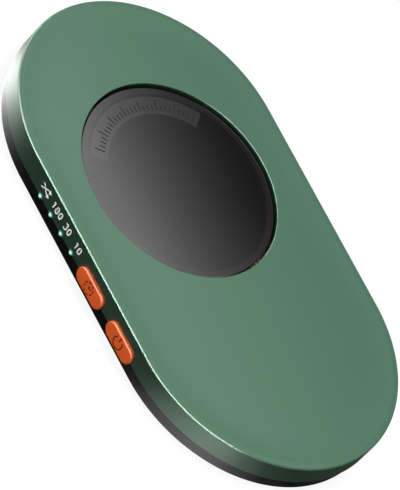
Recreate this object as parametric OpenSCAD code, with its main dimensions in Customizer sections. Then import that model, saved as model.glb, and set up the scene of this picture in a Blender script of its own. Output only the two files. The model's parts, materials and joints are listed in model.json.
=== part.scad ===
// Mouse jiggler: a slim platform whose motor-driven turntable moves the mouse that stands on it.
// Millimetres. Origin on the resting plane, below the middle of the body; +Z up, +Y toward the
// turntable end, the buttons on the -X side.

/* [Body] */
// Width over the cover
body_width = 78; // [65:0.5:94]
// Length over the cover
body_length = 136; // [113:0.5:164]
// Height of the base tray, from its underside to the parting line
base_height = 4.1; // [3.4:0.1:5]
// Step between the cover's outline and the base tray's, all round
base_inset = 0.6; // [0.3:0.1:0.9]
// Side wall of the cover
cover_wall = 1.6; // [1.2:0.1:2]
// Roof of the cover
roof_thickness = 1.3; // [1:0.1:1.6]
// Floor of the base tray
floor_thickness = 1.2; // [1:0.1:1.6]
// Locating lip of the base tray: thickness
lip_thickness = 0.8; // [0.6:0.1:1]
// Locating lip of the base tray: height above the parting line
lip_height = 1.2; // [0.8:0.1:1.6]
// Chamfer on the outer edges of both shells
edge_chamfer = 0.4; // [0.2:0.05:0.6]

/* [Feet and case screws] */
// Height of a rubber foot below the base tray
foot_height = 0.6; // [0.4:0.1:1]
// Diameter of a rubber foot
foot_diameter = 9; // [7.5:0.5:10.5]
// Depth of the seat that a foot is glued into
foot_seat = 0.3; // [0.2:0.05:0.4]
// Angle of the case screws from the long axis, about the ends' centres
screw_angle = 46; // [40:1:50]
// Outer radius of a cover boss
boss_radius = 2.8; // [2.4:0.1:3]

/* [Turntable] */
// Diameter of the opening over the turntable
opening_diameter = 56; // [46:0.5:67.5]
// Distance from the turntable's axis to the far end of the body
turntable_to_end = 52.6; // [50:0.2:56]
// Depth of the turntable below the top face
recess_depth = 1.4; // [1:0.1:1.8]
// Thickness of the turntable disc
disc_thickness = 1.5; // [1.2:0.1:1.8]
// Gap between the disc and the opening
disc_gap = 0.4; // [0.3:0.05:0.6]
// Wall of the collar that hangs round the disc
collar_wall = 1.2; // [0.8:0.1:1.6]

/* [Gear train] */
// Gear module
gear_module = 0.5; // [0.5:0.05:0.55]
// Teeth on the motor pinion
motor_pinion_teeth = 12; // [11:1:14]
// Teeth on the compound gear's wheel
wheel_teeth = 48; // [42:2:56]
// Teeth on the compound gear's pinion
compound_pinion_teeth = 16; // [14:1:19]
// Thickness of the gear plate
plate_thickness = 0.8; // [0.6:0.1:1]
// Thickness of the compound gear's wheel
wheel_thickness = 1; // [0.8:0.1:1.2]
// Length of the compound gear's pinion
pinion_length = 3; // [2.6:0.1:3.6]
// Thickness of the turntable gear's rim
gear_rim_height = 1.2; // [1:0.1:1.5]
// Radius of the turntable spindle
spindle_radius = 1.5; // [1.2:0.1:1.8]
// Radius of the compound gear's pin
pin_radius = 1; // [0.8:0.1:1.2]

/* [Motor] */
// Diameter of the motor can
motor_diameter = 15; // [13:0.5:18]
// Radius of the motor shaft
motor_shaft_radius = 0.75; // [0.6:0.05:0.9]
// Room between the motor can and the side wall's lip
motor_wall_gap = 5.4; // [4:0.2:6.4]

/* [Side controls] */
// Length of a button
button_length = 11.7; // [9.8:0.1:14]
// Height of a button
button_height = 4.7; // [4:0.1:5.2]
// How far a button stands out of the cover
button_stand_out = 0.8; // [0.6:0.05:1]
// Travel of a button
button_travel = 0.35; // [0.25:0.05:0.4]
// Place of the timer button along the body
timer_button_y = -5.4; // [-6.5:0.1:-4.5]
// Place of the power button along the body
power_button_y = -21; // [-22:0.1:-20]
// Diameter of a light pin
light_pin_diameter = 1.2; // [1:0.1:1.4]
// Distance between light pins
light_pitch = 5.48; // [4.6:0.02:5.8]
// Place of the light pin nearest the far end
first_light_y = 21.5; // [20:0.5:23]

/* [Electronics] */
// Thickness of the circuit board
board_thickness = 1; // [0.8:0.1:1.2]
// Height of the posts under the circuit board
board_post = 1; // [0.9:0.05:1.2]
// Gap between the circuit board and the tray's wall
board_gap = 2.1; // [1.8:0.1:2.5]
// Thickness of the battery
battery_thickness = 5; // [4:0.1:6]
// Width of the charging socket's shell
socket_width = 9; // [8.9:0.1:9.4]
// Height of the charging socket's shell
socket_height = 3.2; // [3:0.1:3.4]
// Length of the charging socket's shell
socket_length = 7.4; // [6.4:0.1:8.8]

/* [Hidden] */
$fn = 64;

// Clearances: running fits, pressed fits, screws in their holes and loose room
run_gap = 0.05;
press_gap = 0.01;
thread_gap = 0.05;
screw_gap = 0.2;
lip_gap = 0.1;
button_gap = 0.15;
free_gap = 0.3;
part_gap = 1;
bore_over = 1;      // how far a cut runs past the face that it opens

// Plan of the two shells: round ends of the body's own width, joined by straight sides
cover_radius = body_width / 2;
side_half = body_length / 2 - cover_radius;
base_radius = cover_radius - base_inset;
cover_inner = cover_radius - cover_wall;
lip_radius = cover_inner - lip_gap;
cavity_radius = lip_radius - lip_thickness;

// Heights, from the resting plane up through the gear train to the top face
base_z = foot_height;
floor_z = base_z + floor_thickness;
plate_top = floor_z + plate_thickness;
wheel_gap = 0.4;
wheel_z = plate_top + wheel_gap;
wheel_top = wheel_z + wheel_thickness;
pinion_top = wheel_top + pinion_length;
gear_rim_z = pinion_top - gear_rim_height;
disc_lift = 0.84;
disc_z = pinion_top + disc_lift;
disc_top = disc_z + disc_thickness;
top_z = disc_top + recess_depth;
roof_z = top_z - roof_thickness;
parting_z = base_z + base_height;
collar_z = disc_z + 0.2;

// Gear sizes; the turntable gear is the one that reaches the motor past the collar
pressure_angle = 25;
addendum = 0.8 * gear_module;
dedendum = 1.1 * gear_module;
tooth_thinning = 0.05;
opening_radius = opening_diameter / 2;
disc_radius = opening_radius - disc_gap;
collar_radius = opening_radius + collar_wall;
motor_radius = motor_diameter / 2;
motor_collar_gap = 1.3;
motor_reach = collar_radius + motor_collar_gap + motor_radius;
reach_slack = 1;
function pitch_radius(teeth) = teeth * gear_module / 2;
motor_distance = pitch_radius(motor_pinion_teeth + wheel_teeth);
reach_teeth = ceil(2 * (motor_reach + reach_slack - motor_distance) / gear_module);
gear_teeth = reach_teeth - compound_pinion_teeth;
compound_distance = pitch_radius(gear_teeth + compound_pinion_teeth);

// Axes of the gear train: the turntable's, the motor's and, between them, the compound gear's
function polar(r, angle) = [r * cos(angle), r * sin(angle)];
function direction(from, to) = atan2(to[1] - from[1], to[0] - from[0]);
turntable_at = [0, body_length / 2 - turntable_to_end];
motor_x = cavity_radius - motor_wall_gap - motor_radius;
motor_at = turntable_at + [motor_x, -sqrt(motor_reach * motor_reach - motor_x * motor_x)];
reach_angle = acos((pow(compound_distance, 2) + pow(motor_reach, 2) - pow(motor_distance, 2))
    / (2 * compound_distance * motor_reach));
compound_angle = direction(turntable_at, motor_at) - reach_angle;
compound_at = turntable_at + polar(compound_distance, compound_angle);
motor_angle = direction(compound_at, motor_at);

// Gear plate: a pad round the spindle, an arm to the motor and the pegs that are staked over it
plate_pad = 11;
plate_arm = 5;
plate_end = 6.5;
ear_radius = 2.8;
face_ear_radius = 2.4;
ear_distance = motor_radius + 2;
ears_at = [for (side = [-90, 90]) motor_at + polar(ear_distance, motor_angle + side)];
peg_radius = 1;
peg_pad = 3;
peg_head_radius = 1.7;
peg_head = 0.3;
peg_circle = 8.2;
pegs_at = concat([for (turn = [90, 180, 270]) turntable_at + polar(peg_circle, compound_angle + turn)],
    [motor_at + polar(pitch_radius(motor_pinion_teeth) + addendum + peg_head_radius + free_gap,
        motor_angle)]);

// Turntable hub, spindle and clip
hub_radius = 4.5;
hub_recess_radius = 3.2;
hub_recess_z = pinion_top - 0.4;
clip_thickness = 0.3;
clip_radius = 2.7;
groove_depth = 0.35;
washer_radius = hub_radius - 0.5;
clip_gap = 0.1;
spindle_top = disc_z - free_gap;
spindle_foot = spindle_radius - 0.3;
pin_top = pinion_top + clip_gap + clip_thickness + 0.15;
pin_foot = pin_radius - 0.2;
pin_clip_radius = pin_radius + 1;
pin_hub_wall = 1.2;
disc_screw_circle = 12;
disc_screws_at = [for (turn = [0:120:240]) turntable_at + polar(disc_screw_circle, turn + 30)];
web_thickness = 0.7;
web_inset = 2.5;
web_z = pinion_top - web_thickness;
disc_edge = 0.25;
disc_bore_top = disc_top - 0.6;
disc_screw_tip = disc_bore_top - 0.2;

// Motor
motor_z = wheel_top + 0.4;
face_thickness = 0.5;
can_z = motor_z + face_thickness;
can_top = roof_z - 0.2;
can_edge = 0.4;
shaft_bore_top = can_top - 1;
motor_screw_tip = floor_z + 0.2;
standoff_wall = 1;
motor_shaft_z = plate_top + 0.15;
motor_pinion_z = wheel_z - 0.1;
motor_pinion_height = wheel_thickness + 0.2;

// Case screws, one under each rubber foot
screw_circle = cavity_radius - boss_radius - 3.3;
screw_x = screw_circle * sin(screw_angle);
screw_y = side_half + screw_circle * cos(screw_angle);
case_screws_at = [for (sx = [-1, 1], sy = [-1, 1]) [sx * screw_x, sy * screw_y]];
screw_shank = 0.95;
screw_head_radius = 1.9;
screw_head = 1;
foot_top = base_z + foot_seat;
foot_edge = 0.2;
head_seat_z = foot_top + screw_head + 0.2;
boss_root_z = base_z + edge_chamfer;
boss_joint_z = floor_z + 1.6;
boss_wall = 1.2;
case_bore_top = roof_z - 1;
case_screw_tip = case_bore_top - 0.5;

// Small screws of the motor, the disc and the board
small_shank = 0.75;
small_head_radius = 1.5;
small_head = 0.7;
slot_width = 0.4;

// Circuit board: a strip along the button side and the far end, cut round the turntable gear
board_z = floor_z + board_post;
board_top = board_z + board_thickness;
board_radius = cavity_radius - board_gap;
board_edge_x = -board_radius;
board_cut = pitch_radius(gear_teeth) + addendum + 1.6;
strip_right = -8;
board_near_y = power_button_y - 4.5;
board_far_y = turntable_at[1] + board_cut + 7.6;
board_end_y = side_half + board_radius;
post_bore_z = base_z + 0.6;
board_screw_tip = post_bore_z + 0.1;
controls_y = (timer_button_y + power_button_y) / 2;
board_screws_at = [[board_edge_x + 3.5, controls_y], [-14, board_end_y - 7.4], [14, board_end_y - 7.4]];
connector_size = [6, 4.5, 3.5];
board_margin = 0.5;
battery_connector_y = board_near_y + connector_size[1] / 2 + board_margin;
motor_connector_y = battery_connector_y + connector_size[1] + 3;
gear_room = pitch_radius(gear_teeth) + addendum + part_gap;
gear_below = turntable_at[1] - motor_connector_y - connector_size[1] / 2;
connector_right = min(strip_right - board_margin, -sqrt(max(0, pow(gear_room, 2) - pow(gear_below, 2))));
connector_x = connector_right - connector_size[0] / 2;
chip_size = [5, 5, 0.9];
small_chip_size = [3, 3, 0.9];
chip_x = board_edge_x + 12;
chip_y = motor_connector_y + (connector_size[1] + chip_size[1]) / 2 + part_gap;
driver_y = chip_y + (chip_size[1] + small_chip_size[1]) / 2 + 3;
charger_at = [-9, board_end_y - 11.5];

// Charging socket, in the middle of the far end
socket_front = body_length / 2 - 0.6;
socket_back = socket_front - socket_length;
socket_z = board_top + socket_height / 2;
socket_skin = 0.3;
socket_room = 0.2;
tongue_size = [6.7, 0.7];
tongue_inset = 1;
socket_mouth = 3.5;

// Battery, between the case screws and the gear plate
battery_width = 2 * (screw_x - boss_radius - 1.2);
battery_z = floor_z + 0.1;
battery_start = -side_half - sqrt(pow(cavity_radius - 1.5, 2) - pow(battery_width / 2, 2));
battery_end = min(ears_at[0][1] - ear_radius, ears_at[1][1] - ear_radius, motor_at[1] - motor_radius,
    board_near_y) - part_gap;
battery_middle = (battery_start + battery_end) / 2;
battery_length = battery_end - battery_start;
battery_corner = 2;
bay_rib = 0.8;
bay_rib_height = 2.5;
bay_rib_length = 0.6 * battery_length;
tape_margin = [8, 3];

// Buttons, their switches and the status lights, all on the -X side
button_z = parting_z + 0.45;
button_face_x = -cover_radius - button_stand_out;
flange_x = -cavity_radius + 0.2;
flange_back_x = flange_x + 0.8;
flange_over = 1;
plunger_out = button_travel + 0.25;
plunger_depth = 1.6;
plunger_radius = min(0.9, button_z - board_top - 0.2);
switch_size = [3.4, 6, 2 * (button_z - board_top)];
stem_radius = 1.2;
lights_y = [for (n = [0:3]) first_light_y - n * light_pitch];
light_z = parting_z;
light_size = [1.4, 2, 2 * (light_z - board_top)];
guide_bar_x = -cavity_radius + 0.3;
guide_bar = 1.1;
guide_tab = 2.6;
guide_tab_width = 1.5;
guide_low = lights_y[3] - 3;
guide_high = lights_y[0] + 3;

// Leads
lead_mouth_x = connector_right - 0.8;
lead_stub = 1;
lead_z = board_top + connector_size[2] / 2;
lead_out = 5;
lead_turn = 110;
lead_radius = 0.45;
lead_spread = 0.6;
lead_rings = 14;
lead_exit_z = can_z + 1.6;
lead_sides = 8;

// --- Shared shapes ---

// Sweeps a wall profile, drawn at x >= 0, round the plan with round ends
module round_ended(half) {
    for (turn = [0, 180]) rotate([0, 0, turn]) translate([0, half, 0])
        rotate_extrude(angle = 180) children();
    rotate([90, 0, 0]) linear_extrude(2 * half, center = true) {
        children();
        mirror([1, 0]) children();
    }
}

module stadium(radius, half) {
    for (side = [-1, 1]) translate([0, side * half]) circle(radius);
    square([2 * radius, 2 * half], center = true);
}

// A straight arm between two round pads, which are wider than it
module arm(p, q, half_width) {
    translate(p) rotate(direction(p, q)) translate([0, -half_width]) square([norm(q - p), 2 * half_width]);
}

module pads(places, radius) {
    for (at = places) translate(at) circle(radius);
}

module post(at, z0, z1, radius) {
    translate([at[0], at[1], z0]) cylinder(h = z1 - z0, r = radius);
}

// A box of a size, standing on z, with its middle at a point
module block(at, z, size) {
    translate([at[0] - size[0] / 2, at[1] - size[1] / 2, z]) cube(size);
}

// A pill with its long axis along Y, from x0 to x1
module side_pill(y, z, x0, x1, length, height) {
    translate([x1, y, z]) rotate([0, -90, 0]) linear_extrude(x1 - x0)
        stadium(height / 2, (length - height) / 2);
}

// A rod along X, from x0 to x1
module side_rod(y, z, x0, x1, radius) {
    translate([x0, y, z]) rotate([0, 90, 0]) cylinder(h = x1 - x0, r = radius);
}

// The charging socket's outline, from y0 to y1
module socket_bar(y0, y1, grow) {
    radius = socket_height / 2 + grow;
    translate([0, y1, socket_z]) rotate([90, 0, 0]) linear_extrude(y1 - y0)
        rotate(90) stadium(radius, (socket_width - socket_height) / 2);
}

// A pan-head screw: its head lies on z_seat and its shank points up or down
module pan_screw(at, z_seat, length, shank, head_radius, head, points_up) {
    translate([at[0], at[1], z_seat]) mirror([0, 0, points_up ? 0 : 1]) {
        cylinder(h = length, r = shank);
        difference() {
            translate([0, 0, -head]) cylinder(h = head, r = head_radius);
            for (turn = [0, 90]) rotate(turn)
                translate([-head_radius * 0.6, -slot_width / 2, -head - bore_over])
                    cube([head_radius * 1.2, slot_width, bore_over + head / 2]);
        }
    }
}

// Involute of an angle, in radians
function involute(a) = tan(a) - a * PI / 180;
// Half the angle that a tooth fills at a radius
function half_tooth(teeth, r) =
    let (pitch = pitch_radius(teeth), base = pitch * cos(pressure_angle),
        a = r > base ? acos(base / r) : 0)
    90 / teeth + (involute(pressure_angle) - involute(a) - tooth_thinning / pitch) * 180 / PI;
function gear_outline(teeth) =
    let (pitch = pitch_radius(teeth), radii = [pitch - dedendum, pitch, pitch + addendum])
    [for (tooth = [0:teeth - 1]) each concat(
        [for (n = [0:2]) polar(radii[n], 360 * tooth / teeth - half_tooth(teeth, radii[n]))],
        [for (n = [2:-1:0]) polar(radii[n], 360 * tooth / teeth + half_tooth(teeth, radii[n]))])];

// A spur gear with its first tooth at an angle
module spur(at, z, height, teeth, angle) {
    translate([at[0], at[1], z]) rotate(angle) linear_extrude(height) polygon(gear_outline(teeth));
}

// Tube along a cubic curve with a short straight stub at each end: it leaves start along leave and
// comes to end against arrive
function curve_point(s, t) = pow(1 - t, 3) * s[0] + 3 * t * pow(1 - t, 2) * (s[0] + s[1])
    + 3 * t * t * (1 - t) * (s[3] + s[2]) + t * t * t * s[3];
function unit(v) = v / norm(v);
module lead(start, leave, arrive, end) {
    ends = [start + lead_stub * unit(leave), leave, arrive, end + lead_stub * unit(arrive)];
    path = concat([start], [for (n = [0:lead_rings - 1]) curve_point(ends, n / (lead_rings - 1))], [end]);
    last = lead_rings + 1;
    points = [for (n = [0:last]) let (
            along = n == 0 ? unit(leave) : n == last ? -unit(arrive) : unit(path[n + 1] - path[n - 1]),
            across = unit(cross(along, [0, 0, 1])), up = cross(across, along))
        for (k = [0:lead_sides - 1]) path[n]
            + lead_radius * (across * cos(360 * k / lead_sides) + up * sin(360 * k / lead_sides))];
    sides = [for (n = [0:last - 1], k = [0:lead_sides - 1]) let (
            a = n * lead_sides + k, b = n * lead_sides + (k + 1) % lead_sides)
        each [[a, b, b + lead_sides], [a, b + lead_sides, a + lead_sides]]];
    caps = [for (k = [1:lead_sides - 2]) each [[0, k + 1, k],
        [last * lead_sides, last * lead_sides + k, last * lead_sides + k + 1]]];
    polyhedron(points, concat(sides, caps));
}

// --- Shells ---

module side_openings() {
    for (y = [timer_button_y, power_button_y]) {
        side_pill(y, button_z, -cover_radius - bore_over, -cavity_radius + bore_over,
            button_length + 2 * button_gap, button_height + 2 * button_gap);
        // room for the flange and the light guide where the wall curves in
        side_pill(y, button_z, flange_x - button_gap, flange_back_x + button_travel + button_gap,
            button_length + 2 * (flange_over + button_gap), button_height + 2 * button_gap);
    }
    translate([guide_bar_x - lip_gap, guide_low - lip_gap, board_top - lip_gap])
        cube([guide_bar, guide_high - guide_low + 2 * lip_gap, light_size[2] + 2 * lip_gap]);
    for (y = lights_y)
        side_rod(y, light_z, -cover_radius - bore_over, -cavity_radius + bore_over,
            light_pin_diameter / 2 + lip_gap);
    socket_bar(socket_front - socket_mouth, body_length / 2 + bore_over, socket_room);
}

module top_cover() {
    color("#6b8878") difference() {
        union() {
            round_ended(side_half) polygon([[0, roof_z], [cover_inner, roof_z], [cover_inner, parting_z],
                [cover_radius, parting_z], [cover_radius, top_z - edge_chamfer],
                [cover_radius - edge_chamfer, top_z], [0, top_z]]);
            post(turntable_at, collar_z, top_z - edge_chamfer, collar_radius);
            for (at = case_screws_at) post(at, boss_joint_z + run_gap, top_z - edge_chamfer, boss_radius);
        }
        post(turntable_at, base_z, top_z + bore_over, opening_radius);
        for (at = case_screws_at)
            post(at, boss_joint_z - bore_over, case_bore_top, screw_shank + thread_gap);
        side_openings();
    }
}

module base_tray() {
    color("#191919") difference() {
        union() {
            round_ended(side_half) polygon([[0, base_z], [base_radius - edge_chamfer, base_z],
                [base_radius, base_z + edge_chamfer], [base_radius, parting_z], [lip_radius, parting_z],
                [lip_radius, parting_z + lip_height], [cavity_radius, parting_z + lip_height],
                [cavity_radius, floor_z], [0, floor_z]]);
            for (at = case_screws_at) post(at, boss_root_z, boss_joint_z, screw_head_radius + boss_wall);
            for (at = board_screws_at) post(at, boss_root_z, board_z, small_shank + boss_wall);
            for (at = pegs_at) {
                post(at, boss_root_z, plate_top, peg_radius);
                post(at, plate_top, plate_top + peg_head, peg_head_radius);
            }
            for (side = [-1, 1])
                block([side * (battery_width / 2 + free_gap + bay_rib / 2), battery_middle], boss_root_z,
                    [bay_rib, bay_rib_length, floor_z + bay_rib_height - boss_root_z]);
        }
        for (at = case_screws_at) {
            post(at, base_z - bore_over, foot_top, foot_diameter / 2 + lip_gap);
            post(at, base_z - bore_over, head_seat_z, screw_head_radius + screw_gap);
            post(at, base_z - bore_over, boss_joint_z + bore_over, screw_shank + screw_gap);
        }
        for (at = board_screws_at) post(at, post_bore_z, board_z + bore_over, small_shank + thread_gap);
        side_openings();
    }
}

module foot(sx, sy) {
    radius = foot_diameter / 2;
    color("#2a2a2a") translate([sx * screw_x, sy * screw_y, 0]) rotate_extrude()
        polygon([[0, 0], [radius - foot_edge, 0], [radius, foot_edge], [radius, foot_top - press_gap],
            [0, foot_top - press_gap]]);
}

module foot_front_left() { foot(-1, -1); }
module foot_front_right() { foot(1, -1); }
module foot_rear_left() { foot(-1, 1); }
module foot_rear_right() { foot(1, 1); }

module case_screws() {
    color("silver") for (at = case_screws_at)
        pan_screw(at, head_seat_z, case_screw_tip - head_seat_z, screw_shank, screw_head_radius,
            screw_head, true);
}

// --- Turntable ---

module turntable_disc() {
    color("#2e2c2d") difference() {
        union() {
            translate([turntable_at[0], turntable_at[1], 0]) rotate_extrude($fn = 128)
                polygon([[0, disc_z], [disc_radius - disc_edge, disc_z], [disc_radius, disc_z + disc_edge],
                    [disc_radius, disc_top - disc_edge], [disc_radius - disc_edge, disc_top],
                    [0, disc_top]]);
            for (at = disc_screws_at) post(at, pinion_top, disc_z + disc_edge, small_shank + boss_wall);
        }
        for (at = disc_screws_at)
            post(at, pinion_top - bore_over, disc_bore_top, small_shank + thread_gap);
    }
}

module turntable_gear() {
    rim_inner = pitch_radius(gear_teeth) - dedendum - web_inset;
    color("ivory") difference() {
        union() {
            spur(turntable_at, gear_rim_z, gear_rim_height, gear_teeth, compound_angle);
            post(turntable_at, wheel_z, disc_z, hub_radius);
        }
        difference() {
            post(turntable_at, gear_rim_z - bore_over, web_z, rim_inner);
            post(turntable_at, wheel_z - bore_over, disc_z, hub_radius);
        }
        post(turntable_at, wheel_z - bore_over, disc_z + bore_over, spindle_radius + run_gap);
        post(turntable_at, hub_recess_z, disc_z + bore_over, hub_recess_radius);
        for (at = disc_screws_at) post(at, gear_rim_z - bore_over, disc_z, small_shank + screw_gap);
    }
}

module disc_screws() {
    color("silver") for (at = disc_screws_at)
        pan_screw(at, web_z, disc_screw_tip - web_z, small_shank, small_head_radius, small_head, true);
}

module turntable_spindle() {
    color("lightgray") difference() {
        union() {
            post(turntable_at, floor_z, plate_top, spindle_foot);
            post(turntable_at, plate_top, spindle_top, spindle_radius);
        }
        difference() {
            post(turntable_at, hub_recess_z + run_gap, hub_recess_z + 2 * run_gap + clip_thickness,
                spindle_radius + bore_over);
            post(turntable_at, hub_recess_z, hub_recess_z + 1, spindle_radius - groove_depth);
        }
    }
}

module thrust_washer() {
    color("gainsboro") difference() {
        post(turntable_at, plate_top, wheel_z - 2 * run_gap, washer_radius);
        post(turntable_at, plate_top - bore_over, wheel_z, spindle_radius + run_gap);
    }
}

// A sprung clip, open on one side, in a groove of the shaft that it grips
module retaining_clip(at, z, radius, groove_radius, thickness) {
    difference() {
        post(at, z, z + thickness, radius);
        post(at, z - bore_over, z + thickness + bore_over, groove_radius + press_gap);
        translate([at[0], at[1] - groove_radius * 0.8, z - bore_over])
            cube([radius + bore_over, groove_radius * 1.6, thickness + 2 * bore_over]);
    }
}

module spindle_clip() {
    color("silver") retaining_clip(turntable_at, hub_recess_z + 1.5 * run_gap, clip_radius,
        spindle_radius - groove_depth, clip_thickness);
}

// --- Gear plate and compound gear ---

module gear_plate() {
    color("lightsteelblue") difference() {
        translate([0, 0, floor_z]) linear_extrude(plate_thickness) {
            pads([turntable_at], plate_pad);
            pads([compound_at, motor_at], plate_end);
            pads([pegs_at[3]], peg_pad);
            pads(ears_at, ear_radius);
            arm(turntable_at, compound_at, plate_arm);
            arm(compound_at, motor_at, plate_arm);
            arm(motor_at, pegs_at[3], peg_pad * 0.8);
            arm(ears_at[0], ears_at[1], ear_radius * 0.8);
        }
        post(turntable_at, base_z, plate_top + bore_over, spindle_foot + press_gap);
        post(compound_at, base_z, plate_top + bore_over, pin_foot + press_gap);
        for (at = pegs_at) post(at, base_z, plate_top + bore_over, peg_radius + run_gap);
        for (at = ears_at) post(at, base_z, plate_top + bore_over, small_shank + thread_gap);
    }
}

module compound_gear() {
    color("ivory") difference() {
        union() {
            post(compound_at, plate_top + 2 * run_gap, wheel_z, pin_radius + pin_hub_wall);
            spur(compound_at, wheel_z, wheel_thickness, wheel_teeth, motor_angle);
            spur(compound_at, wheel_top, pinion_length, compound_pinion_teeth,
                compound_angle + 180 + 180 / compound_pinion_teeth);
        }
        post(compound_at, base_z, pinion_top + bore_over, pin_radius + run_gap);
    }
}

module compound_gear_pin() {
    color("lightgray") difference() {
        union() {
            post(compound_at, floor_z, plate_top, pin_foot);
            post(compound_at, plate_top, pin_top, pin_radius);
        }
        difference() {
            post(compound_at, pinion_top + clip_gap / 2, pinion_top + clip_gap * 1.5 + clip_thickness,
                pin_radius + bore_over);
            post(compound_at, pinion_top, pin_top, pin_radius - groove_depth);
        }
    }
}

module compound_gear_clip() {
    color("silver") retaining_clip(compound_at, pinion_top + clip_gap, pin_clip_radius,
        pin_radius - groove_depth, clip_thickness);
}

// --- Motor ---

module motor_can() {
    color("#b9bcc0") difference() {
        translate([motor_at[0], motor_at[1], 0]) rotate_extrude()
            polygon([[0, can_z], [motor_radius, can_z], [motor_radius, can_top - can_edge],
                [motor_radius - can_edge, can_top], [0, can_top]]);
        post(motor_at, can_z - bore_over, shaft_bore_top, motor_shaft_radius + run_gap);
    }
}

module motor_face_plate() {
    color("#9a9ea3") difference() {
        translate([0, 0, motor_z]) linear_extrude(face_thickness) {
            pads([motor_at], motor_radius);
            pads(ears_at, face_ear_radius);
            arm(ears_at[0], ears_at[1], face_ear_radius * 0.8);
        }
        post(motor_at, motor_z - bore_over, can_z + bore_over, motor_shaft_radius + screw_gap);
        for (at = ears_at) post(at, motor_z - bore_over, can_z + bore_over, small_shank + screw_gap);
    }
}

module motor_standoffs() {
    color("#c8b46a") for (at = ears_at) difference() {
        post(at, plate_top, motor_z, small_shank + standoff_wall);
        post(at, plate_top - bore_over, motor_z + bore_over, small_shank + thread_gap);
    }
}

module motor_screws() {
    color("silver") for (at = ears_at)
        pan_screw(at, can_z, can_z - motor_screw_tip, small_shank, small_head_radius, small_head, false);
}

module motor_shaft() {
    color("lightgray") post(motor_at, motor_shaft_z, shaft_bore_top - 2 * run_gap, motor_shaft_radius);
}

module motor_pinion() {
    color("#c9a24b") difference() {
        spur(motor_at, motor_pinion_z, motor_pinion_height, motor_pinion_teeth,
            motor_angle + 180 + 180 / motor_pinion_teeth);
        post(motor_at, plate_top, motor_z, motor_shaft_radius + press_gap);
    }
}

// --- Electronics ---

module main_board() {
    color("darkgreen") difference() {
        translate([0, 0, board_z]) linear_extrude(board_thickness) intersection() {
            stadium(board_radius, side_half);
            union() {
                translate([-cover_radius, board_near_y])
                    square([cover_radius + strip_right, body_length / 2 - board_near_y]);
                translate([-cover_radius, board_far_y]) square([body_width, body_length / 2 - board_far_y]);
            }
        }
        post(turntable_at, board_z - bore_over, board_top + bore_over, board_cut);
        for (at = case_screws_at)
            post(at, board_z - bore_over, board_top + bore_over, screw_head_radius + boss_wall + free_gap);
        for (at = board_screws_at)
            post(at, board_z - bore_over, board_top + bore_over, small_shank + screw_gap);
    }
}

module board_screws() {
    color("silver") for (at = board_screws_at)
        pan_screw(at, board_top, board_top - board_screw_tip, small_shank, small_head_radius, small_head,
            false);
}

module socket_shell() {
    color("silver") difference() {
        socket_bar(socket_back, socket_front, 0);
        socket_bar(socket_back + socket_skin, socket_front + bore_over, -socket_skin);
    }
}

module socket_tongue() {
    length = socket_length - socket_skin - tongue_inset;
    color("#202020") block([0, socket_back + socket_skin + length / 2], socket_z - tongue_size[1] / 2,
        [tongue_size[0], length, tongue_size[1]]);
}

module battery_cell() {
    corner = [battery_width / 2 - battery_corner, battery_length / 2 - battery_corner];
    color("#b8c4d0") translate([0, battery_middle, battery_z]) linear_extrude(battery_thickness) {
        square([2 * corner[0], battery_length], center = true);
        square([battery_width, 2 * corner[1]], center = true);
        pads([for (sx = [-1, 1], sy = [-1, 1]) [sx * corner[0], sy * corner[1]]], battery_corner);
    }
}

module battery_tape() {
    color("#d8d2a8") block([0, battery_middle], floor_z,
        [battery_width - tape_margin[0], battery_length - tape_margin[1], battery_z - floor_z]);
}

module connector(y) {
    color("ivory") difference() {
        block([connector_x, y], board_top, connector_size);
        for (n = [-1, 1]) side_rod(y, lead_z + n * lead_spread, connector_x,
            connector_x + connector_size[0], lead_radius + thread_gap);
    }
}

module battery_connector() { connector(battery_connector_y); }
module motor_connector() { connector(motor_connector_y); }

module battery_leads() {
    for (n = [-1, 1]) color(n > 0 ? "red" : "black")
        lead([strip_right + 4, battery_end + free_gap, lead_z + n * lead_spread], [1.5, 3, 0],
            [lead_out, 0, 0], [lead_mouth_x, battery_connector_y, lead_z + n * lead_spread]);
}

module motor_leads() {
    exit_at = motor_at + polar(motor_radius + run_gap, motor_angle - lead_turn);
    away = polar(lead_out, motor_angle - lead_turn);
    for (n = [-1, 1]) color(n > 0 ? "red" : "black")
        lead([exit_at[0], exit_at[1], lead_exit_z + n * lead_spread], [away[0], away[1], 0],
            [1.6 * lead_out, 0, 0], [lead_mouth_x, motor_connector_y, lead_z + n * lead_spread]);
}

module controller_chip() {
    color("#222222") block([chip_x, chip_y], board_top, chip_size);
}

module charger_chip() {
    color("#222222") block(charger_at, board_top, small_chip_size);
}

module motor_driver_chip() {
    color("#222222") block([chip_x, driver_y], board_top, small_chip_size);
}

// --- Side controls ---

module light_guide() {
    color("white") {
        translate([guide_bar_x, guide_low, board_top])
            cube([guide_bar, guide_high - guide_low, light_size[2]]);
        for (y = [guide_low, guide_high - guide_tab_width])
            translate([guide_bar_x, y, board_top])
                cube([guide_bar + guide_tab, guide_tab_width, light_size[2]]);
        for (y = lights_y)
            side_rod(y, light_z, -cover_radius, guide_bar_x + guide_bar / 2, light_pin_diameter / 2);
    }
}

module status_light(n) {
    color("#c8ffeb") block([board_edge_x + light_size[0] / 2 + 0.1, lights_y[n]], board_top, light_size);
}

module status_light_1() { status_light(0); }
module status_light_2() { status_light(1); }
module status_light_3() { status_light(2); }
module status_light_4() { status_light(3); }

module side_button(y) {
    plunger_tip = board_edge_x - plunger_out;
    color("#c85519") {
        side_pill(y, button_z, button_face_x, flange_back_x, button_length, button_height);
        side_pill(y, button_z, flange_x, flange_back_x, button_length + 2 * flange_over, button_height);
        side_rod(y, button_z, flange_x, plunger_tip - run_gap, stem_radius);
    }
}

module timer_button() { side_button(timer_button_y); }
module power_button() { side_button(power_button_y); }

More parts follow.
